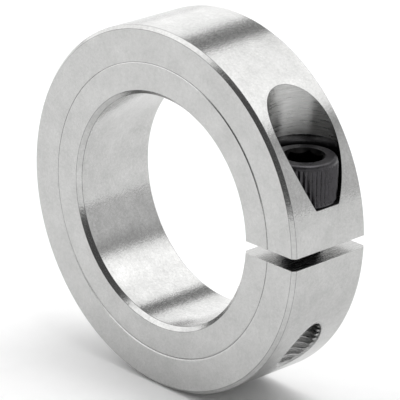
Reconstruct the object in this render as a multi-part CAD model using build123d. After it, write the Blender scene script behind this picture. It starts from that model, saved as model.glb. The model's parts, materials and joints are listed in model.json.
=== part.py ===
from build123d import *
import math
import os

# Shaft collar: a clamping ring of aluminium, slit once, and the socket head cap screw that closes it.
#
# Millimetres, +Z up. The bore runs along Y and the origin is the centre of the bore, half way
# along it. The slit opens towards +X, the screw crosses it along Z with its head on top, and the
# front face, which has the turned groove, looks towards -Y.
#
# The ring is one piece of metal that bends at the web opposite the slit when the screw closes it.
# It is written as an upper and a lower half that meet at that web on the plane Z = 0. The line
# where this plane meets the bore is the axis about which the halves turn.

# Ring
OUTER_RADIUS = 28.5
BORE_RADIUS = 18.0
WIDTH = 15.0
OUTER_CHAMFER = 0.55
BORE_CHAMFER = 0.65
SLIT_WIDTH = 1.85
GROOVE_INNER_RADIUS = 22.78
GROOVE_BOTTOM_RADIUS = 22.92
GROOVE_OUTER_RADIUS = 23.2
GROOVE_DEPTH = 0.1

# Screw axis, and the holes for the screw in the ring
SCREW_X = 22.65
SEAT_Z = 6.85
COUNTERBORE_RADIUS = 5.5
CLEARANCE_HOLE_RADIUS = 3.3
HOLE_MOUTH_CHAMFER = 0.35

# M6 x 1 thread. The play is the radial gap that is shared equally by the screw and the tapped hole.
PITCH = 1.0
NOMINAL_RADIUS = 3.0
THREAD_PLAY = 0.14
FLANK_SLOPE = math.tan(math.radians(30))
TRIANGLE_HEIGHT = PITCH / (2 * FLANK_SLOPE)
SHARP_RADIUS = NOMINAL_RADIUS + TRIANGLE_HEIGHT / 8
TAPPED_MINOR_RADIUS = NOMINAL_RADIUS - 5 / 8 * TRIANGLE_HEIGHT
SCREW_MINOR_RADIUS = NOMINAL_RADIUS - 17 / 24 * TRIANGLE_HEIGHT

# M6 x 18 socket head cap screw. Its head stands higher than the standard 6 mm.
SHANK_LENGTH = 18.0
PLAIN_SHANK_LENGTH = 2.2
TIP_CHAMFER = 0.6
HEAD_RADIUS = 5.0
HEAD_HEIGHT = 6.7
HEAD_FOOT_HEIGHT = 0.4
HEAD_FOOT_CHAMFER = 0.2
HEAD_BAND_HEIGHT = 0.7
HEAD_BAND_FILLET = 0.6
KNURL_TEETH = 42
KNURL_DEPTH = 0.22
SOCKET_ACROSS_FLATS = 5.0
SOCKET_DEPTH = 3.2
SOCKET_MOUTH_CHAMFER = 0.5
DRILL_POINT_HALF_ANGLE = 59.0

# How far a cutting shape runs past what it cuts
OVERSHOOT = 1.0


def upright_cylinder(radius, low, high):
    """Cylinder about the screw axis, between two heights."""
    return Pos(SCREW_X, 0, (low + high) / 2) * Cylinder(radius, high - low)


def upright_cone(low_radius, high_radius, low, high):
    """Cone about the screw axis, between two heights."""
    return Pos(SCREW_X, 0, (low + high) / 2) * Cone(low_radius, high_radius, high - low)


def helical_strip(inner_radius, outer_radius, inner_half, outer_half, low, high):
    """Right-hand helix of trapezoid section about the screw axis, its centre at (r, 0, low) at the start.

    inner_half and outer_half are half the height of the section at its two radii.
    """
    section = make_face(
        Polyline(
            (inner_radius, 0, low - inner_half),
            (inner_radius, 0, low + inner_half),
            (outer_radius, 0, low + outer_half),
            (outer_radius, 0, low - outer_half),
            close=True,
        )
    )
    path = Helix(pitch=PITCH, height=high - low, radius=inner_radius, center=(0, 0, low))
    return Pos(SCREW_X, 0, 0) * sweep(section, path=path, is_frenet=True)


def tapped_hole(low, high):
    """Cutting shape of the tapped hole, between two heights that are whole pitches."""
    shift = THREAD_PLAY / 2
    minor = TAPPED_MINOR_RADIUS + shift
    major = NOMINAL_RADIUS + shift
    root = minor - PITCH / 20
    root_half = (SHARP_RADIUS + shift - root) * FLANK_SLOPE
    crest_half = (SHARP_RADIUS + shift - major) * FLANK_SLOPE
    thread = helical_strip(root, major, root_half, crest_half, low, high)
    return upright_cylinder(minor, low, high), thread


def screw_thread_gap(low, high):
    """The helical groove between the turns of the screw's thread, between two heights."""
    shift = THREAD_PLAY / 2
    root = SCREW_MINOR_RADIUS - shift
    outside = NOMINAL_RADIUS
    root_half = PITCH / 2 - (SHARP_RADIUS - shift - root) * FLANK_SLOPE
    outside_half = PITCH / 2 - (SHARP_RADIUS - shift - outside) * FLANK_SLOPE
    return helical_strip(root, outside, root_half, outside_half, low + PITCH / 2, high + PITCH / 2)


def ring_section():
    """Section of the ring in the XY plane, with its chamfers and the groove in the front face."""
    half = WIDTH / 2
    return make_face(
        Polyline(
            (BORE_RADIUS, -half + BORE_CHAMFER),
            (BORE_RADIUS + BORE_CHAMFER, -half),
            (GROOVE_INNER_RADIUS, -half),
            (GROOVE_BOTTOM_RADIUS, -half + GROOVE_DEPTH),
            (GROOVE_OUTER_RADIUS, -half),
            (OUTER_RADIUS - OUTER_CHAMFER, -half),
            (OUTER_RADIUS, -half + OUTER_CHAMFER),
            (OUTER_RADIUS, half - OUTER_CHAMFER),
            (OUTER_RADIUS - OUTER_CHAMFER, half),
            (BORE_RADIUS + BORE_CHAMFER, half),
            (BORE_RADIUS, half - BORE_CHAMFER),
            close=True,
        )
    )


def half_ring(side):
    """Upper (side = 1) or lower (side = -1) half of the ring, without its half of the slit."""
    whole = revolve(ring_section(), Axis.Y)
    reach = OUTER_RADIUS + OVERSHOOT
    kept_half = Pos(0, 0, side * reach / 2) * Box(2 * reach, 2 * reach, reach)
    slit = Pos(reach / 2, 0, 0) * Box(reach, WIDTH + 2 * OVERSHOOT, SLIT_WIDTH)
    return whole & kept_half - slit


def ring_upper_half():
    """Half with the counterbore for the screw's head and the plain hole for its shank."""
    slit_face = SLIT_WIDTH / 2
    mouth_radius = CLEARANCE_HOLE_RADIUS + HOLE_MOUTH_CHAMFER
    body = half_ring(1)
    body -= upright_cylinder(COUNTERBORE_RADIUS, SEAT_Z, OUTER_RADIUS)
    body -= upright_cylinder(CLEARANCE_HOLE_RADIUS, 0, SEAT_Z + OVERSHOOT)
    body -= upright_cone(mouth_radius, CLEARANCE_HOLE_RADIUS, slit_face, slit_face + HOLE_MOUTH_CHAMFER)
    return body


def ring_lower_half():
    """Half with the tapped hole, which runs out through the outer surface."""
    slit_face = -SLIT_WIDTH / 2
    thread_radius = NOMINAL_RADIUS + THREAD_PLAY / 2
    mouth_radius = thread_radius + HOLE_MOUTH_CHAMFER
    drilled, thread = tapped_hole(-math.ceil(OUTER_RADIUS), PITCH)
    body = half_ring(-1) - drilled - thread
    body -= upright_cone(thread_radius, mouth_radius, slit_face - HOLE_MOUTH_CHAMFER, slit_face)
    return body


def knurled_band(low, high):
    """Straight-knurled cylinder about the screw axis, between two heights."""
    outline = []
    for step in range(2 * KNURL_TEETH):
        radius = HEAD_RADIUS - KNURL_DEPTH * (step % 2)
        angle = math.pi * step / KNURL_TEETH
        outline.append((radius * math.cos(angle), radius * math.sin(angle)))
    section = make_face(Polyline(*outline, close=True))
    return Pos(SCREW_X, 0, low) * extrude(section, amount=high - low)


def hex_socket(top):
    """Cutting shape of the key socket that is sunk into the head from a height."""
    across_corners = SOCKET_ACROSS_FLATS / math.cos(math.pi / 6)
    hexagon = RegularPolygon(across_corners / 2, 6)
    prism = Pos(SCREW_X, 0, top - SOCKET_DEPTH) * extrude(hexagon, amount=SOCKET_DEPTH + OVERSHOOT)
    bottom_radius = SOCKET_ACROSS_FLATS / 2
    bottom = top - SOCKET_DEPTH
    point_depth = bottom_radius / math.tan(math.radians(DRILL_POINT_HALF_ANGLE))
    point = upright_cone(0, bottom_radius, bottom - point_depth, bottom)
    mouth_radius = across_corners / 2 + SOCKET_MOUTH_CHAMFER / 2
    mouth = upright_cone(mouth_radius - SOCKET_MOUTH_CHAMFER, mouth_radius, top - SOCKET_MOUTH_CHAMFER, top)
    return prism + point + mouth


def clamp_screw():
    """Socket head cap screw, seated in the counterbore, with its thread in mesh with the tapped hole."""
    top = SEAT_Z + HEAD_HEIGHT
    tip = SEAT_Z - SHANK_LENGTH
    band_low = top - HEAD_BAND_HEIGHT
    foot_high = SEAT_Z + HEAD_FOOT_HEIGHT
    shank_radius = NOMINAL_RADIUS - THREAD_PLAY / 2
    shank = upright_cylinder(shank_radius, tip, SEAT_Z)
    shank = chamfer(shank.edges().group_by(Axis.Z)[0], TIP_CHAMFER)
    thread_low = math.floor(tip) - PITCH
    shank -= screw_thread_gap(thread_low, SEAT_Z - PLAIN_SHANK_LENGTH)
    foot_radius = HEAD_RADIUS - KNURL_DEPTH
    foot = upright_cylinder(foot_radius, SEAT_Z, foot_high)
    foot = chamfer(foot.edges().group_by(Axis.Z)[0], HEAD_FOOT_CHAMFER)
    band = upright_cylinder(foot_radius, band_low, top)
    band = fillet(band.edges().group_by(Axis.Z)[-1], HEAD_BAND_FILLET)
    head = foot + knurled_band(foot_high, band_low) + band - hex_socket(top)
    return head + shank


NODES = {
    "ring_lower_half": ring_lower_half,
    "ring_upper_half": ring_upper_half,
    "clamp_screw": clamp_screw,
}

os.makedirs("parts", exist_ok=True)
for name, build in NODES.items():
    solid = build()
    export_step(solid, f"parts/{name}.step")
    print(f"{name}: {len(solid.solids())} solid, {solid.volume:.1f} mm3, valid {solid.is_valid}")
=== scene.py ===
"""Looks of a one-piece shaft collar: a turned aluminium ring, slit once, and its black cap screw.

The ring is built as one unbroken skin from its own surfaces of revolution and its own holes, in
place of the two CAD halves, which it hides. Lengths are metres, the bore runs along Y and
the screw along Z.
"""

import json
import logging
import math
from collections.abc import Callable, Sequence
from dataclasses import dataclass, field
from enum import IntEnum

import bmesh
import bpy
import numpy as np
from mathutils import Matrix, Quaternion, Vector
from mathutils.geometry import delaunay_2d_cdt


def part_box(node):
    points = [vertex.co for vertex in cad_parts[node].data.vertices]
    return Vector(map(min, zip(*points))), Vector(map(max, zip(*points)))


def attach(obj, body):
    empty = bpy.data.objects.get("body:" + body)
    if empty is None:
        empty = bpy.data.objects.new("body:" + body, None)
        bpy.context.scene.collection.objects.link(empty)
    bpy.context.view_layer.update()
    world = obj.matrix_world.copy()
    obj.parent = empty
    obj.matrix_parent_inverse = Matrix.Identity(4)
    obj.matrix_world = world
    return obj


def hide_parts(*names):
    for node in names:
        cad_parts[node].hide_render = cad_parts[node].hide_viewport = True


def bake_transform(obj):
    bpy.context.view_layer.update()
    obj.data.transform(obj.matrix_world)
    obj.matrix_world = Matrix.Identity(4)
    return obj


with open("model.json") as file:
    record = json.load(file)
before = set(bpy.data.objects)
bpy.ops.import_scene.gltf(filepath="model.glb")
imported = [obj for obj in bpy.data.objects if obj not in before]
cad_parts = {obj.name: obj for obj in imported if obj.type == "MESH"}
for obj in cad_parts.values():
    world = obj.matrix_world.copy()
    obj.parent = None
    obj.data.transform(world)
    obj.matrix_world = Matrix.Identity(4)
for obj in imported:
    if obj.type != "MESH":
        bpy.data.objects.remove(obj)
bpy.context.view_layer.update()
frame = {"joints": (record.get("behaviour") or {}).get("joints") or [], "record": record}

LOG = logging.getLogger("shaft_collar")
MM = 0.001
WELD_STEPS_PER_METRE = 1e8

SLIT_HALF = 0.925 * MM
HEAD_HEIGHT = 6.7 * MM
THREAD_NOMINAL = 3.0 * MM
THREAD_PITCH = 1.0 * MM
THREAD_PLAY = 0.07 * MM
FLANK_SLOPE = math.tan(math.radians(30))
# Segments across each rounded edge of the ring.
ROUND_STEPS = 3

Tree = bpy.types.NodeTree
Socket = bpy.types.NodeSocket


class RingFinish(IntEnum):
    """Which machining made a stretch of the ring's surface. The value is its material index."""

    FACED = 0
    TURNED = 1
    BORED = 2
    MILLED = 3
    BURNISHED = 4
    SAWN = 5
    TAPPED = 6
    # CORNER: the rounded edges, coloured darker as painted shade for the dark lines along them.
    CORNER = 7


class ScrewFinish(IntEnum):
    """Which stretch of the screw a face belongs to. The value is its material index."""

    HEAD = 0
    # SOCKET's material is painted shade: near-black for the deep socket.
    SOCKET = 1
    THREAD = 2


# ---- Colour and shader helpers ----


def srgb(hex_colour: str) -> tuple[float, float, float, float]:
    """Turn an sRGB hex colour into linear RGBA.

    Args:
        hex_colour: six hex digits after a hash, such as "#C8CACB".

    Returns:
        Linear red, green, blue and an alpha of 1.
    """
    channels = [int(hex_colour[i : i + 2], 16) / 255 for i in (1, 3, 5)]
    linear = [c / 12.92 if c <= 0.04045 else ((c + 0.055) / 1.055) ** 2.4 for c in channels]
    return linear[0], linear[1], linear[2], 1.0


def add_node(
    tree: Tree,
    kind: str,
    inputs: dict[int | str, object] | None = None,
    **settings: object,
) -> bpy.types.Node:
    """Add one node, set it up and link it.

    Args:
        tree: node tree that receives the node.
        kind: Blender's node type without its "ShaderNode", such as "Math".
        inputs: value, or output socket to link from, for each input's index or name.
        **settings: attributes of the node, such as operation="MULTIPLY".

    Returns:
        The new node.
    """
    made = tree.nodes.new("ShaderNode" + kind)
    for name, value in settings.items():
        setattr(made, name, value)
    for key, value in (inputs or {}).items():
        if isinstance(value, Socket):
            tree.links.new(value, made.inputs[key])
        else:
            made.inputs[key].default_value = value
    return made


def new_material(name: str) -> tuple[bpy.types.Material, Tree, Socket]:
    """Start a material.

    Args:
        name: its name.

    Returns:
        The material, its empty node tree, and a socket that gives the object coordinates.
    """
    made = bpy.data.materials.new(name)
    made.use_nodes = True
    made.node_tree.nodes.clear()
    place = add_node(made.node_tree, "TexCoord").outputs["Object"]
    return made, made.node_tree, place


def close_material(tree: Tree, shader_inputs: dict[int | str, object]) -> None:
    """Add the shader with its inputs and link it to the material's output."""
    shader = add_node(tree, "BsdfPrincipled", shader_inputs)
    add_node(tree, "OutputMaterial", {"Surface": shader.outputs[0]})


def remap(tree: Tree, value: Socket, low: float, high: float) -> Socket:
    """Spread the middle of a noise (0.3 to 0.7) over a range and clamp it.

    Args:
        tree: material's node tree.
        value: the noise.
        low, high: ends of the range.

    Returns:
        The spread value.
    """
    limits = {"From Min": 0.3, "From Max": 0.7, "To Min": low, "To Max": high}
    return add_node(tree, "MapRange", {"Value": value, **limits}).outputs["Result"]


def mottled(tree: Tree, noise: Socket, dull: str, bright: str) -> Socket:
    """Let a noise choose a surface's colour.

    Args:
        tree: material's node tree.
        noise: the noise.
        dull, bright: hex colours at its low and high end.

    Returns:
        The colour.
    """
    ends = {0: remap(tree, noise, 0, 1), 6: srgb(dull), 7: srgb(bright)}
    return add_node(tree, "Mix", ends, data_type="RGBA").outputs[2]


def average(tree: Tree, first: Socket, second: Socket) -> Socket:
    """Mean of two noises."""
    total = add_node(tree, "Math", {0: first, 1: second}, operation="ADD").outputs[0]
    return add_node(tree, "Math", {0: total, 1: 0.5}, operation="MULTIPLY").outputs[0]


# ---- Finishes ----


@dataclass(frozen=True, kw_only=True)
class Aluminium:
    """Bare machined 6000-series aluminium: what every cut of it has in common.

    Bright metal lies under the marks of its cut, which stretch a reflection across themselves. A
    fine tumbled grain over them breaks the edge of every reflection up into sparkle.

    Attributes:
        name: material name.
        dull, bright: hex colours between which it varies.
        smooth, rough: roughness between which it varies.
        anisotropy: how much further a highlight stretches across the marks.
        axis: letter of the axis that the marks run round.
        relief: height of the marks, in metres.
        grain: size of the grain. Real grain is near 0.05 mm and is drawn coarser so that it shows.
        grain_relief: height of the grain, in metres.
    """

    name: str
    dull: str
    bright: str
    smooth: float
    rough: float
    anisotropy: float
    axis: str
    relief: float
    grain: float
    grain_relief: float

    def cut(self, tree: Tree, place: Socket, grain: Socket) -> tuple[Socket, Socket, Socket]:
        """Add the marks of the cut.

        Args:
            tree: material's node tree.
            place: object coordinates.
            grain: the grain's noise.

        Returns:
            Noises for the marks' height, for the colour and for the roughness.
        """
        raise NotImplementedError

    def material(self) -> bpy.types.Material:
        """Build the material.

        Returns:
            The material.
        """
        made, tree, place = new_material(self.name)
        fine = {"Vector": place, "Scale": 1 / self.grain, "Detail": 2.0, "Roughness": 0.7}
        grain = add_node(tree, "TexNoise", fine).outputs[0]
        marks, tint, gloss = self.cut(tree, place, grain)
        normal = None
        for height, relief in ((marks, self.relief), (grain, self.grain_relief)):
            inputs = {"Strength": 1.0, "Distance": relief, "Height": height}
            if normal:
                inputs["Normal"] = normal
            normal = add_node(tree, "Bump", inputs).outputs[0]
        tangent = add_node(tree, "Tangent", direction_type="RADIAL", axis=self.axis)
        surface = {
            "Base Color": mottled(tree, tint, self.dull, self.bright),
            "Metallic": 1.0,
            "Roughness": remap(tree, gloss, self.smooth, self.rough),
            "Anisotropic": self.anisotropy,
            "Anisotropic Rotation": 0.25,
            "Tangent": tangent.outputs[0],
            "Normal": normal,
        }
        close_material(tree, surface)
        return made


@dataclass(frozen=True, kw_only=True)
class TurnedAluminium(Aluminium):
    """Aluminium cut about the Y axis by a single-point tool.

    Its marks are fine rings, so it looks like satin along the cut and glossy across it. Faint
    clouds show where handling and coolant have dulled it.

    Attributes:
        faced: True on a face, where the feed ran along the radius.
        feed: distance between rings. A real feed is near 0.1 mm and is drawn coarser to show.
        run: how far round the turn a mark lasts, as a share of the radius.
        cloud: size of the clouds, in metres.
    """

    dull: str = "#ABABAA"
    bright: str = "#C7C7C6"
    smooth: float = 0.16
    rough: float = 0.24
    anisotropy: float = 0.55
    axis: str = "Y"
    relief: float = 0.0006 * MM
    grain: float = 0.4 * MM
    grain_relief: float = 0.015 * MM
    faced: bool = False
    feed: float = 0.35 * MM
    run: float = 1.5
    cloud: float = 3 * MM

    def cut(self, tree: Tree, place: Socket, grain: Socket) -> tuple[Socket, Socket, Socket]:
        """Add the rings and clouds.

        Args:
            tree, place, grain: as in Aluminium.cut.

        Returns:
            The rings, the grain mixed with the clouds, and the grain mixed with the rings.
        """
        kind = "VectorMath"
        flat = add_node(tree, kind, {0: place, 1: (1, 0, 1)}, operation="MULTIPLY").outputs[0]
        round_axis = add_node(tree, kind, {0: flat}, operation="NORMALIZE").outputs[0]
        if self.faced:
            along = add_node(tree, kind, {0: flat}, operation="LENGTH").outputs["Value"]
        else:
            along = add_node(tree, "SeparateXYZ", {0: place}).outputs["Y"]
        turn = add_node(tree, kind, {0: round_axis, "Scale": 1 / self.run}, operation="SCALE")
        steps = add_node(tree, "Math", {0: along, 1: 1 / self.feed}, operation="MULTIPLY")
        drawn_out = {"Vector": turn.outputs[0], "W": steps.outputs[0], "Scale": 1.0}
        fine = {"Detail": 3.0, "Roughness": 0.6}
        rings = add_node(tree, "TexNoise", drawn_out | fine, noise_dimensions="4D").outputs[0]
        soft = {"Vector": place, "Scale": 1 / self.cloud, "Detail": 6.0, "Roughness": 0.62}
        clouds = add_node(tree, "TexNoise", soft).outputs[0]
        return rings, average(tree, grain, clouds), average(tree, grain, rings)


@dataclass(frozen=True, kw_only=True)
class MilledAluminium(Aluminium):
    """Aluminium cut by a rotating tool: an end mill, a drill, a slitting saw or a tap.

    Its marks are stripes with short breaks, so a wall that they ring looks brushed.

    Attributes:
        step: index of the object axis that the stripes step along.
        spacing: distance between stripes. Real ones are near 0.1 mm and are drawn coarser to show.
        run: length of a stripe before it breaks, in metres.
    """

    dull: str = "#9C9C9B"
    bright: str = "#CECECD"
    smooth: float = 0.22
    rough: float = 0.4
    anisotropy: float = 0.0
    axis: str = "Z"
    relief: float = 0.008 * MM
    grain: float = 0.25 * MM
    grain_relief: float = 0.008 * MM
    step: int = 2
    spacing: float = 0.3 * MM
    run: float = 3 * MM

    def cut(self, tree: Tree, place: Socket, grain: Socket) -> tuple[Socket, Socket, Socket]:
        """Add the stripes.

        Args:
            tree, place, grain: as in Aluminium.cut.

        Returns:
            The stripes, three times.
        """
        stretch = [1 / self.run] * 3
        stretch[self.step] = 1 / self.spacing
        scale = {0: place, 1: tuple(stretch)}
        scaled = add_node(tree, "VectorMath", scale, operation="MULTIPLY").outputs[0]
        fine = {"Vector": scaled, "Scale": 1.0, "Detail": 4.0, "Roughness": 0.7}
        stripes = add_node(tree, "TexNoise", fine).outputs[0]
        return stripes, stripes, stripes


@dataclass(frozen=True, kw_only=True)
class BlackOxideSteel:
    """Alloy steel with a black oxide finish and a film of oil.

    The oxide is a thin, slightly warm black that shows the forged grain under it. It is dull in
    patches and takes a soft highlight where the oil lies.

    Attributes:
        name: material name.
        grain: size of the mottling, in metres.
        dark, light: hex colours of the mottling.
        smooth, rough: roughness between which it varies.
        relief: height of the mottling, in metres.
        metal: share of bare steel showing through the oxide.
        oil: weight of the film of oil.
    """

    name: str
    grain: float = 0.4 * MM
    dark: str = "#2B2A2C"
    light: str = "#403E42"
    smooth: float = 0.24
    rough: float = 0.42
    relief: float = 0.004 * MM
    metal: float = 0.6
    oil: float = 0.15

    def material(self) -> bpy.types.Material:
        """Build the material.

        Returns:
            The material.
        """
        made, tree, place = new_material(self.name)
        fine = {"Vector": place, "Scale": 1 / self.grain, "Detail": 5.0, "Roughness": 0.6}
        mottle = add_node(tree, "TexNoise", fine).outputs[0]
        height = {"Strength": 0.6, "Distance": self.relief, "Height": mottle}
        surface = {
            "Base Color": mottled(tree, mottle, self.dark, self.light),
            "Metallic": self.metal,
            "Roughness": remap(tree, mottle, self.smooth, self.rough),
            "Coat Weight": self.oil,
            "Coat Roughness": 0.25,
            "Normal": add_node(tree, "Bump", height).outputs[0],
        }
        close_material(tree, surface)
        return made


@dataclass(frozen=True)
class StudioPaper:
    """Matt white background paper with a very faint fibre, which keeps the ground even.

    Attributes:
        name: material name.
        low, high: hex colours of the fibre.
        fibre: size of the fibre. Real fibre is near 1 mm and is drawn coarser to stay even.
    """

    name: str = "matt_white_paper"
    low: str = "#F4F4F4"
    high: str = "#F8F8F8"
    fibre: float = 4 * MM

    def material(self) -> bpy.types.Material:
        """Build the material.

        Returns:
            The material.
        """
        made, tree, place = new_material(self.name)
        fibre = add_node(tree, "TexNoise", {"Vector": place, "Scale": 1 / self.fibre})
        ends = {0: fibre.outputs[0], 6: srgb(self.low), 7: srgb(self.high)}
        colour = add_node(tree, "Mix", ends, data_type="RGBA").outputs[2]
        close_material(tree, {"Base Color": colour, "Roughness": 0.9, "Specular IOR Level": 0.1})
        return made


# ---- Mesh helpers ----


def unit(vectors: np.ndarray) -> np.ndarray:
    """Scale vectors to length 1 along their last axis."""
    return vectors / np.linalg.norm(vectors, axis=-1, keepdims=True)


def stacked(*parts: np.ndarray | float) -> np.ndarray:
    """Join coordinates, each an array or one number for all, along a new last axis."""
    return np.stack(np.broadcast_arrays(*parts), axis=-1)


def rounded_edge(
    near: np.ndarray,
    corner: np.ndarray,
    far: np.ndarray,
    near_normal: np.ndarray,
    far_normal: np.ndarray,
) -> tuple[np.ndarray, np.ndarray]:
    """Round an edge between two surfaces with a curve from one to the other.

    Args:
        near, far: points where the curve meets each surface, one row of points each.
        corner: the sharp edge's points, which pull the curve.
        near_normal, far_normal: the surfaces' normals at those points.

    Returns:
        Rows of points, and rows of normals, from near to far.
    """
    share = np.linspace(0, 1, ROUND_STEPS + 1)[:, None, None]
    points = (1 - share) ** 2 * near + 2 * share * (1 - share) * corner + share**2 * far
    normals = unit((1 - share) * near_normal + share * far_normal)
    return points, normals


class Skin:
    """Points, faces and exact corner normals of one piece, gathered patch by patch.

    Patches that compute the same point share it, so they close up without a seam.
    """

    def __init__(self) -> None:
        """Start with no points."""
        self.points: list[tuple[float, float, float]] = []
        self.faces: list[list[int]] = []
        self.normals: list[list[np.ndarray]] = []
        self.finishes: list[int] = []
        self._known: dict[tuple[int, int, int], int] = {}

    def index(self, point: Sequence[float]) -> int:
        """Look a point up, and add it if it is new.

        Args:
            point: its coordinates.

        Returns:
            Its index.
        """
        key = tuple(round(float(c) * WELD_STEPS_PER_METRE) for c in point)
        if key not in self._known:
            self._known[key] = len(self.points)
            self.points.append(tuple(float(c) for c in point))
        return self._known[key]

    def face(self, corners: Sequence[int], normals: Sequence[np.ndarray], finish: int) -> None:
        """Add a face, turned so that it looks the way its normals do.

        Args:
            corners: indices of its points. Repeats are dropped.
            normals: one normal for each corner.
            finish: material index.
        """
        kept = [i for i in range(len(corners)) if corners[i] != corners[i - 1]]
        ids = [corners[i] for i in kept]
        if len(set(ids)) < 3 or len(set(ids)) != len(ids):
            return
        wanted = [normals[i] for i in kept]
        p = np.array([self.points[i] for i in ids])
        facing = np.cross(p[1] - p[0], p[2] - p[0])
        if len(ids) == 4:
            facing = facing + np.cross(p[2] - p[0], p[3] - p[0])
        if np.dot(facing, np.sum(wanted, axis=0)) < 0:
            ids.reverse()
            wanted.reverse()
        self.faces.append(ids)
        self.normals.append(wanted)
        self.finishes.append(int(finish))

    def net(
        self, points: np.ndarray, normals: np.ndarray, finish: int | Sequence[int], closed: bool = False
    ) -> None:
        """Add a grid of quads.

        Args:
            points: array of rows by columns by 3.
            normals: array of the same shape.
            finish: material index, or one for each band between two rows.
            closed: True to join the last column to the first.
        """
        rows, columns = points.shape[:2]
        ids = [[self.index(p) for p in row] for row in points]
        spans = columns if closed else columns - 1
        for r in range(rows - 1):
            band = finish if isinstance(finish, int) else finish[r]
            for c in range(spans):
                d = (c + 1) % columns
                at = ((r, c), (r, d), (r + 1, d), (r + 1, c))
                self.face([ids[i][j] for i, j in at], [normals[i, j] for i, j in at], band)

    def patch(
        self,
        loops: Sequence[np.ndarray],
        holes: int,
        inner: np.ndarray,
        flatten: Callable[[np.ndarray], np.ndarray],
        normal: Callable[[np.ndarray], np.ndarray],
        finish: int,
    ) -> None:
        """Fill a surface that is bounded by loops of points.

        Args:
            loops: closed rows of points. The last ones are the holes.
            holes: how many of the loops are holes.
            inner: further points on the surface.
            flatten: gives the plane coordinates of points.
            normal: gives the surface's normal at points.
            finish: material index.
        """
        points = np.concatenate([*loops, inner])
        ids = [self.index(p) for p in points]
        flat = flatten(points)
        edges, owner, start = [], np.full(len(points), -1), 0
        for number, loop in enumerate(loops):
            count = len(loop)
            edges += [(start + i, start + (i + 1) % count) for i in range(count)]
            owner[start : start + count] = number
            start += count
        first_hole = len(loops) - holes
        # In millimetres, because the triangulation's tolerance is a fixed length.
        scale, tolerance = 1 / MM, 1e-7
        done = delaunay_2d_cdt([Vector(p * scale) for p in flat], edges, [], 0, tolerance)
        source = [o[0] if o else None for o in done[3]]
        normals = normal(points)
        for triangle in done[2]:
            corners = [source[v] for v in triangle]
            if None in corners:
                continue
            owners = {int(owner[c]) for c in corners}
            if len(owners) == 1 and min(owners) >= first_hole:
                continue
            self.face([ids[c] for c in corners], [normals[c] for c in corners], finish)

    def build(self, name: str, materials: Sequence[bpy.types.Material]) -> bpy.types.Object:
        """Make the object, with its materials and its exact normals.

        Args:
            name: name of the object and of its mesh.
            materials: one for each material index.

        Returns:
            The object.
        """
        mesh = bpy.data.meshes.new(name)
        mesh.from_pydata(self.points, [], self.faces)
        for material in materials:
            mesh.materials.append(material)
        mesh.polygons.foreach_set("material_index", self.finishes)
        mesh.polygons.foreach_set("use_smooth", [True] * len(self.faces))
        mesh.update()
        mesh.normals_split_custom_set([tuple(n) for face in self.normals for n in face])
        made = bpy.data.objects.new(name, mesh)
        bpy.context.scene.collection.objects.link(made)
        return made


# ---- Thread ----


@dataclass(frozen=True)
class Thread:
    """A right-hand 60 degree thread about the screw axis, as a radius at each angle and height.

    Attributes:
        crest, root: largest and smallest radius.
        sharp: radius at which the two flanks would meet.
        pitch: advance for each turn.
        softness: half the width over which its edges are rounded.
    """

    crest: float
    root: float
    sharp: float
    pitch: float = THREAD_PITCH
    softness: float = 0.03 * MM

    def radius(self, angle: np.ndarray, height: np.ndarray) -> np.ndarray:
        """Find the radius of the thread.

        Args:
            angle: in radians about the axis.
            height: in metres.

        Returns:
            The radius at each of them.
        """
        phase = height / self.pitch - angle / (2 * math.pi)
        total = np.zeros_like(phase)
        offsets = (-1, -1 / 3, 1 / 3, 1)
        for offset in offsets:
            from_ridge = (phase - np.round(phase)) * self.pitch + offset * self.softness
            from_ridge = np.minimum(np.abs(from_ridge), self.pitch - np.abs(from_ridge))
            flank = self.sharp - from_ridge / FLANK_SLOPE
            total += np.clip(flank, self.root, self.crest)
        return total / len(offsets)

    def faded(self, angle: np.ndarray, height: np.ndarray, share: np.ndarray) -> np.ndarray:
        """Radius of the thread where it has only a share of its depth."""
        return self.crest - (self.crest - self.radius(angle, height)) * np.clip(share, 0, 1)

    def rows(self, low: float, high: float) -> np.ndarray:
        """Place rows that follow the edges of every turn.

        Args:
            low, high: heights between which the turns lie.

        Returns:
            The rows' heights at angle 0.
        """
        in_turn = np.array([-0.5, -0.4, -0.35, -0.22, -0.09, -0.04, 0.04, 0.09, 0.22, 0.35, 0.4])
        first, last = math.floor(low / self.pitch) - 1, math.ceil(high / self.pitch) + 1
        turns = np.arange(first, last + 1)[:, None]
        return ((turns + in_turn) * self.pitch).ravel()


def thread_net(
    axis_x: float,
    columns: int,
    heights: np.ndarray,
    pitch: float,
    low: np.ndarray,
    high: np.ndarray,
    radius: Callable[[np.ndarray, np.ndarray], np.ndarray],
    outward: bool,
) -> tuple[np.ndarray, np.ndarray]:
    """Points and normals of a threaded surface between two edges.

    Args:
        axis_x: X of the thread's axis.
        columns: points round it.
        heights: heights of the rows at angle 0, from Thread.rows.
        pitch: advance for each turn.
        low, high: lowest and highest height in each column, with one extra column at the end.
        radius: gives the radius at angles and heights.
        outward: True on a screw, False in a hole.

    Returns:
        Arrays of rows by columns + 1 by 3: the points, and their normals.
    """
    angle = np.linspace(0, 2 * math.pi, columns + 1)[None, :]
    height = heights[:, None] + pitch * angle / (2 * math.pi)
    height = np.clip(height, low[None, :], high[None, :])
    angle = np.broadcast_to(angle, height.shape)
    # Slopes are differences across these small steps to each side.
    turn, rise = 1e-3, 2e-6
    r = radius(angle, height)
    by_angle = (radius(angle + turn, height) - radius(angle - turn, height)) / (2 * turn)
    by_height = (radius(angle, height + rise) - radius(angle, height - rise)) / (2 * rise)
    cos, sin = np.cos(angle), np.sin(angle)
    points = stacked(axis_x + r * cos, r * sin, height)
    normals = stacked(by_angle * sin + r * cos, r * sin - by_angle * cos, -r * by_height)
    return points, unit(normals) * (1 if outward else -1)


# ---- Ring ----


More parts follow.
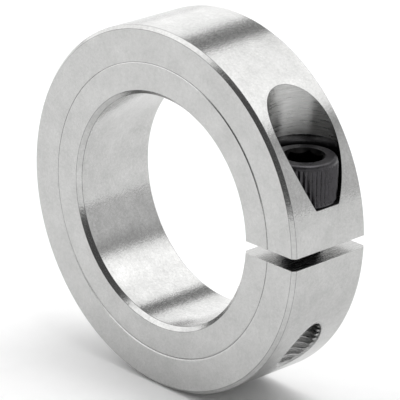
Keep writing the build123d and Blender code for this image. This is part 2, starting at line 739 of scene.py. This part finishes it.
@dataclass
class SplitRing:
    """The aluminium ring: turned section, slit, counterbore, plain hole and tapped hole.

    Attributes:
        outer, bore: radii of the outside and the bore.
        half_width: half the ring's length along its bore.
        screw_x: X of the screw axis.
        seat: height of the screw's seat.
        tapped: the internal thread.
        counterbore, plain_hole: radii of the head's hole and of the shank's.
        corner_round, edge_break, exit_break: reach of the rounding at the turned corners, at the
            slit and counterbore, and where the tapped hole comes out.
        recess_top: height below which the counterbore's wall is burnished.
        thread_runout: distance over which the tapped thread fades in from each mouth.
        land_margin: how far the outer land's inner points keep from its holes.
        skin, land, slit_outline: surfaces so far, the land's points and the slit faces' outlines.
    """

    outer: float
    bore: float
    half_width: float
    screw_x: float
    seat: float
    tapped: Thread
    slit_half: float = SLIT_HALF
    outer_chamfer: float = 0.55 * MM
    bore_chamfer: float = 0.65 * MM
    groove_inner: float = 22.78 * MM
    groove_bottom: float = 22.92 * MM
    groove_outer: float = 23.2 * MM
    groove_depth: float = 0.1 * MM
    counterbore: float = 5.5 * MM
    plain_hole: float = 3.3 * MM
    mouth_chamfer: float = 0.35 * MM
    corner_round: float = 0.09 * MM
    edge_break: float = 0.035 * MM
    exit_break: float = 0.3 * MM
    recess_top: float = 14.75 * MM
    thread_runout: float = 0.35 * MM
    land_margin: float = 0.3 * MM
    columns: int = 360
    hole_columns: int = 96
    rim_columns: int = 160
    seat_columns: int = 16
    land_rows: int = 14
    skin: Skin = field(default_factory=Skin)
    land: np.ndarray = field(default_factory=lambda: np.zeros((0, 0, 3)))
    slit_outline: dict[int, np.ndarray] = field(default_factory=dict)

    def section(self) -> tuple[np.ndarray, np.ndarray, list[int]]:
        """The turned section, as a closed loop in radius and Y with rounded corners.

        Returns:
            Its points, their outward normals, and the finish of the band after each point. The
            outer land's bands are marked -1, because that land is filled around its holes.
        """
        w, c, b = self.half_width, self.outer_chamfer, self.bore_chamfer
        corners = np.array(
            [
                (self.bore, -w + b),
                (self.bore + b, -w),
                (self.groove_inner, -w),
                (self.groove_bottom, -w + self.groove_depth),
                (self.groove_outer, -w),
                (self.outer - c, -w),
                (self.outer, -w + c),
                (self.outer, w - c),
                (self.outer - c, w),
                (self.bore + b, w),
                (self.bore, w - b),
            ]
        )
        faced, turned, bored = RingFinish.FACED, RingFinish.TURNED, RingFinish.BORED
        after = [bored, faced, faced, faced, faced, turned, -1, turned, faced, bored, bored]
        points, normals, finishes = [], [], []
        for i, corner in enumerate(corners):
            into = unit(corner - corners[i - 1])
            out = unit(corners[(i + 1) % len(corners)] - corner)
            turn = math.acos(float(np.clip(into @ out, -1, 1)))
            reach = self.corner_round * math.tan(turn / 2)
            share = np.linspace(0, 1, ROUND_STEPS + 1)[:, None]
            arc = (1 - share) ** 2 * (corner - into * reach) + 2 * share * (1 - share) * corner
            arc = arc + share**2 * (corner + out * reach)
            tangent = (1 - share) * into + share * out
            points.append(arc)
            normals.append(unit(stacked(tangent[:, 1], -tangent[:, 0])))
            in_groove = abs(corner[1] + w) <= self.groove_depth and corner[0] <= self.groove_outer
            # Rounded corners outside the groove take the CORNER finish, whose darker colour is painted
            # shade.
            rounding = faced if in_groove and corner[0] >= self.groove_inner else RingFinish.CORNER
            finishes += [rounding] * ROUND_STEPS + [after[i]]
            if after[i] == -1:
                following = corners[i + 1]
                rows = np.linspace(corner[1] + reach, following[1] - reach, self.land_rows + 2)[1:-1]
                points.append(stacked(self.outer, rows))
                normals.append(np.tile([1.0, 0.0], (len(rows), 1)))
                finishes += [-1] * len(rows)
        return np.concatenate(points), np.concatenate(normals), finishes

    def on_outside(self, x: np.ndarray) -> np.ndarray:
        """Height of the outer surface above a distance x from the bore axis."""
        return np.sqrt(self.outer**2 - x**2)

    def unroll(self, points: np.ndarray) -> np.ndarray:
        """Lay points of the outer surface out flat, as distance round it and Y."""
        angle = np.arctan2(points[:, 2], points[:, 0]) % (2 * math.pi)
        return stacked(self.outer * angle, points[:, 1])

    def faded_break(self, room: np.ndarray) -> np.ndarray:
        """Edge break that fades out where there is little room for it."""
        return np.clip(room / (3 * self.edge_break), 0, 1) * self.edge_break

    def add_turned(self) -> None:
        """Add every turned band, both rounded slit edges, and remember the slit's outlines."""
        rz, n, finishes = self.section()
        radius = rz[:, 0]
        start = np.arcsin((self.slit_half + self.edge_break) / radius)
        share = np.linspace(0, 1, self.columns + 1)
        angle = start[:, None] + share[None, :] * (2 * math.pi - 2 * start[:, None])
        cos, sin = np.cos(angle), np.sin(angle)
        points = stacked(radius[:, None] * cos, rz[:, 1:2], radius[:, None] * sin)
        normals = stacked(n[:, :1] * cos, n[:, 1:], n[:, :1] * sin)
        count = len(rz)
        for i in range(count):
            if finishes[i] != -1:
                pair = [i, (i + 1) % count]
                self.skin.net(points[pair], normals[pair], finishes[i])
        land = [i for i in range(count) if finishes[i] == -1]
        land.append(land[-1] + 1)
        self.land = points[land]
        for side, column in ((1, 0), (-1, -1)):
            near, near_normal = points[:, column], normals[:, column]
            edge_x = np.sqrt(radius**2 - self.slit_half**2)
            corner = stacked(edge_x, rz[:, 1], side * self.slit_half)
            far = corner - stacked(n[:, 0], n[:, 1], 0.0) * self.edge_break
            far_normal = np.tile([0.0, 0.0, -float(side)], (count, 1))
            rows, row_normals = rounded_edge(near, corner, far, near_normal, far_normal)
            for i in range(count):
                pair = [i, (i + 1) % count]
                band = finishes[i] if finishes[i] != -1 else RingFinish.TURNED
                self.skin.net(rows[:, pair], row_normals[:, pair], band)
            self.slit_outline[side] = far

    def add_counterbore(self) -> np.ndarray:
        """Add the counterbore's rounded rim, wall and seat.

        Returns:
            The rim's loop on the outer surface.
        """
        a, r, seat = self.screw_x, self.counterbore, self.seat
        open_x = float(self.on_outside(np.array(seat)))
        first = math.acos((open_x - a) / r)
        angle = np.linspace(first, 2 * math.pi - first, self.rim_columns + 1)
        cos, sin = np.cos(angle), np.sin(angle)
        top = self.on_outside(a + r * cos)
        fade = self.faded_break(top - seat)
        wide = r + fade
        near = stacked(a + wide * cos, wide * sin, self.on_outside(a + wide * cos))
        corner = stacked(a + r * cos, r * sin, top)
        far = corner - stacked(0.0, 0.0, fade)
        near[[0, -1]] = far[[0, -1]] = corner[[0, -1]]
        wall_normal = stacked(-cos, -sin, 0.0)
        rows, normals = rounded_edge(near, corner, far, unit(near * (1, 0, 1)), wall_normal)
        # The rim's rounding takes the CORNER finish: painted shade along the edge.
        self.skin.net(rows, normals, RingFinish.CORNER)
        base = corner * (1, 1, 0) + (0, 0, seat)
        middle = far * (1, 1, 0)
        middle[:, 2] = np.minimum(far[:, 2], self.recess_top)
        share = np.linspace(0, 1, 6)[:, None, None]
        for start, finish, kind in ((far, middle, RingFinish.MILLED), (middle, base, RingFinish.BURNISHED)):
            wall = start + share * (finish - start)
            self.skin.net(wall, np.broadcast_to(wall_normal, wall.shape), kind)

        half = r * math.sin(first)
        y = np.linspace(-half, half, self.seat_columns + 1)
        fade = self.faded_break(half - np.abs(y))
        low = stacked(self.on_outside(seat - fade), y, seat - fade)
        sharp = stacked(open_x, y, seat)
        inside = sharp - stacked(fade, 0.0, 0.0)
        sharp[0], sharp[-1] = corner[-1], corner[0]
        low[[0, -1]] = inside[[0, -1]] = sharp[[0, -1]]
        up = np.tile([0.0, 0.0, 1.0], (len(y), 1))
        rows, normals = rounded_edge(low, sharp, inside, unit(low * (1, 0, 1)), up)
        self.skin.net(rows, normals, RingFinish.TURNED)

        turn = np.linspace(0, 2 * math.pi, self.hole_columns + 1)[:-1]
        hole = self.circle(self.plain_hole, seat, turn)
        floor_loop = np.concatenate([base[:-1], inside[:-1]])
        self.flat_patch([floor_loop, hole], 1, 1.0)
        radii = (self.plain_hole, self.plain_hole, self.plain_hole + self.mouth_chamfer)
        heights = (seat, self.slit_half + self.mouth_chamfer, self.slit_half)
        self.add_bands(radii, heights, turn)
        return np.concatenate([near[:-1], low[:-1]])

    def circle(self, radius: float, height: float, turn: np.ndarray) -> np.ndarray:
        """Points of a circle about the screw axis."""
        x = self.screw_x + radius * np.cos(turn)
        return stacked(x, radius * np.sin(turn), height)

    def add_bands(self, radii: Sequence[float], heights: Sequence[float], turn: np.ndarray) -> None:
        """Add the plain bands of a hole about the screw axis, one between each two rings.

        Args:
            radii, heights: those of the rings, from the top down.
            turn: angles of their points.
        """
        inward = -stacked(np.cos(turn), np.sin(turn), 0.0)
        for i in range(len(radii) - 1):
            ring = np.stack([self.circle(radii[j], heights[j], turn) for j in (i, i + 1)])
            rise, spread = heights[i] - heights[i + 1], radii[i] - radii[i + 1]
            slope = np.array([0, 0, spread / rise]) if rise else np.array([0.0, 0.0, 0.0])
            normals = unit(np.stack([inward + slope] * 2))
            self.skin.net(ring, normals, RingFinish.TAPPED, closed=True)

    def flat_patch(self, loops: Sequence[np.ndarray], holes: int, facing: float) -> None:
        """Fill a level surface.

        Args:
            loops: its outline and its holes, as rows of points.
            holes: how many of them are holes.
            facing: 1 if it looks up, -1 if it looks down.
        """
        self.skin.patch(
            loops,
            holes,
            np.zeros((0, 3)),
            lambda p: p[:, :2],
            lambda p: np.tile([0.0, 0.0, facing], (len(p), 1)),
            RingFinish.SAWN,
        )

    def add_tapped_hole(self) -> np.ndarray:
        """Add the tapped hole from the slit to where it runs out through the outside.

        Returns:
            The rim's loop on the outer surface.
        """
        a, r, gap = self.screw_x, self.tapped.crest, self.exit_break
        turn = np.linspace(0, 2 * math.pi, self.hole_columns + 1)
        cos, sin = np.cos(turn), np.sin(turn)
        near_x = a + (r + gap) * cos
        near = stacked(near_x, (r + gap) * sin, -self.on_outside(near_x))
        corner = stacked(a + r * cos, r * sin, -self.on_outside(a + r * cos))
        far = corner + (0, 0, gap)
        wall_normal = stacked(-cos, -sin, 0.0)
        rows, normals = rounded_edge(near, corner, far, unit(near * (1, 0, 1)), wall_normal)
        self.skin.net(rows, normals, RingFinish.TAPPED)
        exit_height = far[:, 2]
        top = -self.slit_half - self.mouth_chamfer

        def radius(angle: np.ndarray, height: np.ndarray) -> np.ndarray:
            """Radius of the thread, which fades in from both mouths."""
            room = np.minimum(height - np.interp(angle % (2 * math.pi), turn, exit_height), top - height)
            return self.tapped.faded(angle, height, room / self.thread_runout)

        pitch = self.tapped.pitch
        heights = self.tapped.rows(float(exit_height.min()) - pitch, top)
        tops = np.full_like(turn, top)
        points, normals = thread_net(a, self.hole_columns, heights, pitch, exit_height, tops, radius, False)
        self.skin.net(points, normals, RingFinish.TAPPED)
        self.add_bands((r, r + self.mouth_chamfer), (top, -self.slit_half), turn[:-1])
        return near[:-1]

    def add_slit_faces(self) -> None:
        """Fill the two faces of the slit around their holes."""
        turn = np.linspace(0, 2 * math.pi, self.hole_columns + 1)[:-1]
        upper = self.circle(self.plain_hole + self.mouth_chamfer, self.slit_half, turn)
        lower = self.circle(self.tapped.crest + self.mouth_chamfer, -self.slit_half, turn)
        self.flat_patch([self.slit_outline[1], upper], 1, -1.0)
        self.flat_patch([self.slit_outline[-1], lower], 1, 1.0)

    def add_land(self, holes: Sequence[np.ndarray]) -> None:
        """Fill the outer land, a cylinder between the chamfers, around the holes in it.

        Args:
            holes: their rims, as rows of points.
        """
        land = self.land
        edge = [land[0, :-1], land[:-1, -1], land[-1, :0:-1], land[:0:-1, 0]]
        inner = land[1:-1, 1:-1].reshape(-1, 3)
        clear = np.ones(len(inner), bool)
        for loop in holes:
            from_loop = np.linalg.norm(inner[:, None, :] - loop[None, :, :], axis=-1).min(axis=1)
            upper = loop[:, 2].mean() > 0
            hole_radius = np.hypot(loop[:, 0] - self.screw_x, loop[:, 1]).max()
            from_axis = np.hypot(inner[:, 0] - self.screw_x, inner[:, 1])
            same_side = (inner[:, 2] > 0) == upper
            past_seat = inner[:, 2] > self.seat if upper else np.ones(len(inner), bool)
            clear &= ~((from_axis < hole_radius) & same_side & past_seat) & (from_loop > self.land_margin)
        self.skin.patch(
            [np.concatenate(edge), *holes],
            len(holes),
            inner[clear],
            self.unroll,
            lambda p: unit(p * (1, 0, 1)),
            RingFinish.TURNED,
        )

    def build(self) -> bpy.types.Object:
        """Build the ring and dress it.

        Returns:
            The ring, its halves in one mesh.
        """
        self.add_turned()
        rim = self.add_counterbore()
        mouth = self.add_tapped_hole()
        self.add_slit_faces()
        self.add_land([rim, mouth])
        return self.skin.build("split_ring", self.materials())

    def materials(self) -> list[bpy.types.Material]:
        """Build the ring's materials.

        Returns:
            One material for each RingFinish, in its order.
        """
        finishes = (
            # Faced: nearly even satin, because its rings are shallow and stretch light little.
            TurnedAluminium(
                name="aluminium_faced", dull="#B1B1B0", bright="#C9C9C8", anisotropy=0.3,
                grain_relief=0.01 * MM, faced=True,
            ),
            # Turned outside: soft bands of light across the width, with grain at their edges.
            TurnedAluminium(name="aluminium_turned"),
            # Bored: the same cut from inside, and a little brighter.
            TurnedAluminium(name="aluminium_bored", dull="#ACACAB", bright="#CCCCCB"),
            # End-milled wall: rings of fine scratches that draw highlights out along its height.
            MilledAluminium(name="aluminium_end_milled", anisotropy=0.7),
            # Burnished lower wall: the head's rubbing leaves it smooth enough to mirror the screw.
            MilledAluminium(
                name="aluminium_burnished", smooth=0.1, rough=0.2,
                relief=0.001 * MM, spacing=0.5 * MM, run=5 * MM,
            ),
            # Sawn slit faces: long straight scratches across the slit's depth.
            MilledAluminium(
                name="aluminium_saw_cut", dull="#A6A6A5", bright="#BCBCBB",
                smooth=0.2, rough=0.32, step=0, run=6 * MM,
            ),
            # Tapped thread: darker, torn metal.
            MilledAluminium(name="aluminium_tapped", dull="#989898", bright="#C4C4C3"),
            # Corners: painted shade, a darker colour along each rounded edge that stands for the dark lines
            # the edges reflect.
            TurnedAluminium(name="aluminium_corner_painted_shade", dull="#747474", bright="#8A8A8A"),
        )
        return [finish.material() for finish in finishes]


# ---- Screw ----


@dataclass
class CapScrew:
    """The socket head cap screw, in black oxide steel.

    Attributes:
        axis_x: X of its axis.
        seat, top, tip: heights of the underside of the head, the top and the end of the shank.
        head: radius over the knurl.
        thread: the external thread.
        plain_share: share of the knurl's depth to which the head's plain rings are cut.
        knurl_fade: height over which the knurl fades out at each end.
        band, band_inset, band_step, band_round: height of the plain band at the top, how far it
            stands in from the knurl, the step up to it and its rounding.
        foot, foot_chamfer: height of the plain ring under the knurl, and its chamfer.
        socket_wall: depth at which the socket's mouth has ended.
        drill_angle: half the angle of the drill point in the socket, in degrees.
        shank_runout: distance over which the thread fades out under the head.
        sharp_edge: angle, in degrees, over which an edge of the screw looks sharp.
    """

    axis_x: float
    seat: float
    top: float
    tip: float
    head: float
    thread: Thread
    teeth: int = 42
    columns_per_tooth: int = 6
    knurl_depth: float = 0.24 * MM
    plain_share: float = 0.35
    knurl_fade: float = 0.18 * MM
    band: float = 0.68 * MM
    band_inset: float = 0.12 * MM
    band_step: float = 0.08 * MM
    band_round: float = 0.55 * MM
    foot: float = 0.4 * MM
    foot_chamfer: float = 0.25 * MM
    socket_flats: float = 5.0 * MM
    socket_depth: float = 3.2 * MM
    socket_chamfer: float = 0.25 * MM
    socket_wall: float = 0.8 * MM
    drill_angle: float = 59.0
    plain_shank: float = 2.2 * MM
    shank_runout: float = 0.8 * MM
    tip_chamfer: float = 0.6 * MM
    sharp_edge: float = 30.0
    skin: Skin = field(default_factory=Skin)

    def loop(self, radius: np.ndarray | float, height: np.ndarray | float) -> np.ndarray:
        """Points round the axis at a radius and height, which may vary with the angle."""
        turn = self.turn()
        return stacked(self.axis_x + radius * np.cos(turn), radius * np.sin(turn), height)

    def turn(self) -> np.ndarray:
        """Angles of the columns round the head."""
        count = self.teeth * self.columns_per_tooth
        return np.linspace(0, 2 * math.pi, count, endpoint=False)

    def knurl(self) -> np.ndarray:
        """Radius round the knurled side."""
        in_tooth = (self.turn() * self.teeth / (2 * math.pi)) % 1.0
        return self.head - self.knurl_depth * (1 - np.abs(2 * in_tooth - 1))

    def add_rows(self, rows: Sequence[np.ndarray], finish: ScrewFinish) -> None:
        """Add closed bands between loops. Their normals are only a guide to which way is out."""
        points = np.stack(rows)
        self.skin.net(points, self.outward_guide(points), finish, closed=True)

    def outward_guide(self, points: np.ndarray) -> np.ndarray:
        """Rough normals of bands whose rows run from the underside, out, up and into the socket.

        Args:
            points: array of rows by columns by 3.

        Returns:
            The normals, in an array of the same shape.
        """
        along = np.roll(points, -1, axis=1) - np.roll(points, 1, axis=1)
        up = np.gradient(points, axis=0)
        cross = np.cross(along, up)
        length = np.linalg.norm(cross, axis=-1, keepdims=True)
        return cross / np.maximum(length, 1e-18)

    def add_head(self) -> None:
        """Add the underside, the knurled side, the plain band and the top face."""
        seat, top = self.seat, self.top
        knurl_low = seat + self.foot
        knurl_high = top - self.band
        plain = self.head - self.plain_share * self.knurl_depth
        band_radius = self.head - self.band_inset
        rows = [
            self.loop(self.thread.crest, seat),
            self.loop(plain - self.foot_chamfer, seat),
            self.loop(plain, seat + self.foot_chamfer),
            self.loop(plain, knurl_low),
        ]
        body = np.linspace(knurl_low + self.knurl_fade, knurl_high - self.knurl_fade, 5)
        rows += [self.loop(self.knurl(), z) for z in body]
        rows += [self.loop(plain, knurl_high), self.loop(band_radius, knurl_high + self.band_step)]
        bend = self.band_round
        centre_r, centre_z = band_radius - bend, top - bend
        for t in np.linspace(0, math.pi / 2, 7):
            rows.append(self.loop(centre_r + bend * math.cos(t), centre_z + bend * math.sin(t)))
        mouth = self.corner_radius() + self.socket_chamfer
        rows.append(self.loop((centre_r + mouth) / 2, top))
        rows.append(self.loop(mouth, top))
        self.add_rows(rows, ScrewFinish.HEAD)

    def corner_radius(self) -> float:
        """Radius of the socket over its corners."""
        return self.socket_flats / 2 / math.cos(math.pi / 6)

    def hexagon(self) -> np.ndarray:
        """Radius of the socket's wall round the axis, which is least at the middle of each flat."""
        from_flat = self.turn() % (math.pi / 3) - math.pi / 3 / 2
        return self.socket_flats / 2 / np.cos(from_flat)

    def add_socket(self) -> None:
        """Add the socket's chamfer, six flats, floor and drill point."""
        mouth = self.corner_radius() + self.socket_chamfer
        wall = self.hexagon()
        floor = self.top - self.socket_depth
        apothem = self.socket_flats / 2
        point = floor - apothem / math.tan(math.radians(self.drill_angle))
        rows = [self.loop(mouth, self.top), self.loop(wall, self.top - (mouth - wall))]
        rows += [self.loop(wall, z) for z in np.linspace(self.top - self.socket_wall, floor, 4)]
        rows += [self.loop(apothem, floor), self.loop(apothem / 2, (floor + point) / 2)]
        rows.append(self.loop(1e-6, point))
        self.add_rows(rows, ScrewFinish.SOCKET)

    def add_shank(self) -> None:
        """Add the threaded shank, with its chamfered end."""
        columns = self.teeth * self.columns_per_tooth
        plain_from = self.seat - self.plain_shank
        crest = self.thread.crest

        def radius(angle: np.ndarray, height: np.ndarray) -> np.ndarray:
            """Radius of the thread, which fades out under the head and is cut by the end's chamfer."""
            threaded = self.thread.faded(angle, height, (plain_from - height) / self.shank_runout + 1)
            return np.minimum(threaded, crest - self.tip_chamfer + (height - self.tip))

        pitch = self.thread.pitch
        heights = self.thread.rows(self.tip - pitch, self.seat)
        low, high = np.full(columns + 1, self.tip), np.full(columns + 1, self.seat)
        points, normals = thread_net(self.axis_x, columns, heights, pitch, low, high, radius, True)
        self.skin.net(points, normals, ScrewFinish.THREAD)
        end = points[0, :-1]
        centre = np.array([self.axis_x, 0, self.tip])
        inner = centre + (end - centre) * 0.5
        hub = centre + (end - centre) * 1e-3
        down = np.broadcast_to([0.0, 0.0, -1.0], (3, columns, 3))
        self.skin.net(np.stack([end, inner, hub]), down, ScrewFinish.THREAD, closed=True)

    def build(self) -> bpy.types.Object:
        """Build the screw and dress it.

        Returns:
            The screw.
        """
        self.add_head()
        self.add_socket()
        self.add_shank()
        made = self.skin.build("cap_screw", self.materials())
        sharpen(made, math.radians(self.sharp_edge))
        return made

    def materials(self) -> list[bpy.types.Material]:
        """Build the screw's materials.

        Returns:
            One material for each ScrewFinish, in its order.
        """
        finishes = (
            # Forged head: even black with a coarse mottle.
            BlackOxideSteel(name="steel_black_oxide_forged", grain=0.5 * MM),
            # Socket: painted shade, a near-black colour standing for the shade deep inside the socket.
            BlackOxideSteel(
                name="steel_black_oxide_socket_painted_shade", dark="#0A0A0A", light="#161515", metal=1.0, oil=0.0
            ),
            # Rolled thread: the same black, with a finer mottle.
            BlackOxideSteel(name="steel_black_oxide_rolled"),
        )
        return [finish.material() for finish in finishes]


def sharpen(piece: bpy.types.Object, angle: float) -> None:
    """Replace a piece's normals by smooth ones that break at its sharp edges.

    Args:
        piece: the object.
        angle: angle between two faces, in radians, from which their edge is sharp.
    """
    mesh = piece.data
    if "custom_normal" in mesh.attributes:
        mesh.attributes.remove(mesh.attributes["custom_normal"])
    work = bmesh.new()
    work.from_mesh(mesh)
    for edge in work.edges:
        edge.smooth = len(edge.link_faces) == 2 and edge.calc_face_angle(0.0) < angle
    work.to_mesh(mesh)
    work.free()
    mesh.update()


# ---- Studio ----


@dataclass(frozen=True)
class Panel:
    """A soft-edged patch of the studio round the collar: a lit sheet, or a dark gap between two.

    Attributes:
        azimuth: direction of its middle, in degrees. Azimuth 0 is +X and 90 is +Y.
        width: how far it reaches round, in degrees.
        low, high: elevations of its lower and upper edge, in degrees.
        radiance: its brightness, where 1 renders as white.
        edge: width over which it fades out, in degrees.
    """

    azimuth: float
    width: float
    low: float
    high: float
    radiance: float
    edge: float = 6.0

    def paint(
        self,
        tree: Tree,
        bearing: Socket,
        elevation: Socket,
        under: Socket | float,
    ) -> Socket:
        """Lay the panel over what is already there.

        Args:
            tree: world's node tree.
            bearing, elevation: the direction's angles, in radians.
            under: radiance so far.

        Returns:
            The radiance with the panel in front.
        """
        middle = {0: bearing, 1: math.radians(self.azimuth)}
        away = add_node(tree, "Math", middle, operation="SUBTRACT")
        half_turn = {0: away.outputs[0], 1: math.pi, 2: -math.pi}
        wrapped = add_node(tree, "Math", half_turn, operation="WRAP")
        aside = add_node(tree, "Math", {0: wrapped.outputs[0]}, operation="ABSOLUTE")
        mask = 1.0
        for value, start, finish in (
            (aside.outputs[0], self.width / 2 + self.edge / 2, self.width / 2 - self.edge / 2),
            (elevation, self.low - self.edge / 2, self.low + self.edge / 2),
            (elevation, self.high + self.edge / 2, self.high - self.edge / 2),
        ):
            ends = {"Value": value, "From Min": math.radians(start), "From Max": math.radians(finish)}
            window = add_node(tree, "MapRange", ends, interpolation_type="SMOOTHSTEP")
            both = {0: window.outputs["Result"], 1: mask}
            mask = add_node(tree, "Math", both, operation="MULTIPLY").outputs[0]
        laid = add_node(tree, "Mix", {0: mask, 2: under, 3: self.radiance}, data_type="FLOAT")
        return laid.outputs[0]


@dataclass
class Studio:
    """Pale floor, soft lights, dim room and camera.

    Attributes:
        floor_height: height of the floor under the ring.
        view_azimuth, view_elevation: direction from which the camera looks, in degrees. Azimuth 0
            looks along +Y and 90 along -X.
        view_distance: from the camera to the point it aims at.
        aim: that point.
        roll: the camera's tilt about its own axis, in degrees.
        focal_length, sensor: lens and sensor width, in millimetres.
        near_clip, far_clip: distances between which the camera sees.
        floor_radius: reach of the floor, past every view.
        room: radiance of the room outside the panels.
        panels: sheets of light and dark gaps, each in front of those before it.
    """

    floor_height: float
    view_azimuth: float = 46.16
    view_elevation: float = 21.4
    view_distance: float = 443.37 * MM
    aim: Vector = field(default_factory=lambda: Vector((3.79, -2.60, 1.74)) * MM)
    roll: float = 0.755
    focal_length: float = 267.07
    sensor: float = 36.0
    near_clip: float = 0.01
    far_clip: float = 20.0
    floor_radius: float = 6.0
    room: float = 0.48
    panels: tuple[Panel, ...] = (
        Panel(190, 122, 2, 62, 1.55, 8),
        Panel(210, 60, 32, 62, 1.8, 16),
        Panel(40, 60, -10, 29, 0.78, 10),
        Panel(125, 13, 28, 56, 0.25, 4),
        Panel(85, 70, 37, 66, 1.7, 5),
        Panel(64, 30, 39, 62, 1.95, 12),
        Panel(290, 70, 2, 60, 0.1, 12),
        Panel(80, 230, 64, 100, 3.6, 10),
    )

    def add_floor(self) -> None:
        """Lay a round sheet of white paper that reaches past every view."""
        mesh = bpy.data.meshes.new("studio_floor")
        turn = np.linspace(0, 2 * math.pi, 96, endpoint=False)
        across, along = self.floor_radius * np.cos(turn), self.floor_radius * np.sin(turn)
        rim = stacked(across, along, self.floor_height).tolist()
        mesh.from_pydata(rim, [], [list(range(len(rim)))])
        mesh.materials.append(StudioPaper().material())
        floor = bpy.data.objects.new("studio_floor", mesh)
        bpy.context.scene.collection.objects.link(floor)

    def add_lights(self) -> None:
        """Hang the studio's sheets of light round the collar."""
        world = bpy.data.worlds.new("studio_room")
        world.use_nodes = True
        tree = world.node_tree
        direction = add_node(tree, "TexCoord").outputs["Generated"]
        parts = add_node(tree, "SeparateXYZ", {0: direction}).outputs
        bearing = add_node(tree, "Math", {0: parts["Y"], 1: parts["X"]}, operation="ARCTAN2")
        elevation = add_node(tree, "Math", {0: parts["Z"]}, operation="ARCSINE")
        radiance: Socket | float = self.room
        for panel in self.panels:
            radiance = panel.paint(tree, bearing.outputs[0], elevation.outputs[0], radiance)
        background = tree.nodes["Background"]
        background.inputs["Color"].default_value = srgb("#FFFFFF")
        tree.links.new(radiance, background.inputs["Strength"])
        bpy.context.scene.world = world

    def add_camera(self) -> None:
        """Place the camera and make it the scene's."""
        lens = bpy.data.cameras.new("studio_camera")
        lens.lens, lens.sensor_width = self.focal_length, self.sensor
        lens.clip_start, lens.clip_end = self.near_clip, self.far_clip
        camera = bpy.data.objects.new("studio_camera", lens)
        bpy.context.scene.collection.objects.link(camera)
        a, e = math.radians(self.view_azimuth), math.radians(self.view_elevation)
        back = Vector((math.sin(a) * math.cos(e), -math.cos(a) * math.cos(e), math.sin(e)))
        camera.location = self.aim + back * self.view_distance
        camera.rotation_mode = "QUATERNION"
        level = (-back).to_track_quat("-Z", "Y")
        camera.rotation_quaternion = Quaternion(back, math.radians(self.roll)) @ level
        bpy.context.scene.camera = camera

    def build(self) -> None:
        """Build the whole studio."""
        self.add_floor()
        self.add_lights()
        self.add_camera()
        bpy.context.scene.view_settings.view_transform = "Standard"


def mount(name: str) -> dict:
    """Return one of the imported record's mounts by its name."""
    return next(m for m in frame["record"]["mounts"] if m["name"] == name)


def main() -> None:
    """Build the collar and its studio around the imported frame."""
    logging.basicConfig(level=logging.INFO)
    lower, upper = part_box("ring_lower_half"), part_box("ring_upper_half")
    screw_low, screw_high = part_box("clamp_screw")
    turn_joint = next(j for j in frame["joints"] if j["name"] == "screw_turn")
    axis_x = turn_joint["pos_m"][0]
    seat = screw_high.z - HEAD_HEIGHT
    nominal, play = THREAD_NOMINAL, THREAD_PLAY
    triangle = THREAD_PITCH * math.sqrt(3) / 2
    sharp = nominal + triangle / 8
    ring = SplitRing(
        outer=-lower[0].x,
        bore=mount("bore")["dims"]["r_mm"] * MM,
        half_width=upper[1].y,
        screw_x=axis_x,
        seat=seat,
        tapped=Thread(nominal + play, nominal - 5 / 8 * triangle + play, sharp + play),
    ).build()
    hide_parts("ring_lower_half", "ring_upper_half")
    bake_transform(ring)
    LOG.info("split_ring: %d faces", len(ring.data.polygons))
    screw = CapScrew(
        axis_x=axis_x,
        seat=seat,
        top=screw_high.z,
        tip=screw_low.z,
        head=(screw_high.x - screw_low.x) / 2,
        thread=Thread(nominal - play, nominal - 17 / 24 * triangle - play, sharp - play),
    ).build()
    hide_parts("clamp_screw")
    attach(screw, "screw")
    LOG.info("cap_screw: %d faces", len(screw.data.polygons))
    Studio(floor_height=lower[0].z).build()


if __name__ == "__main__":
    main()
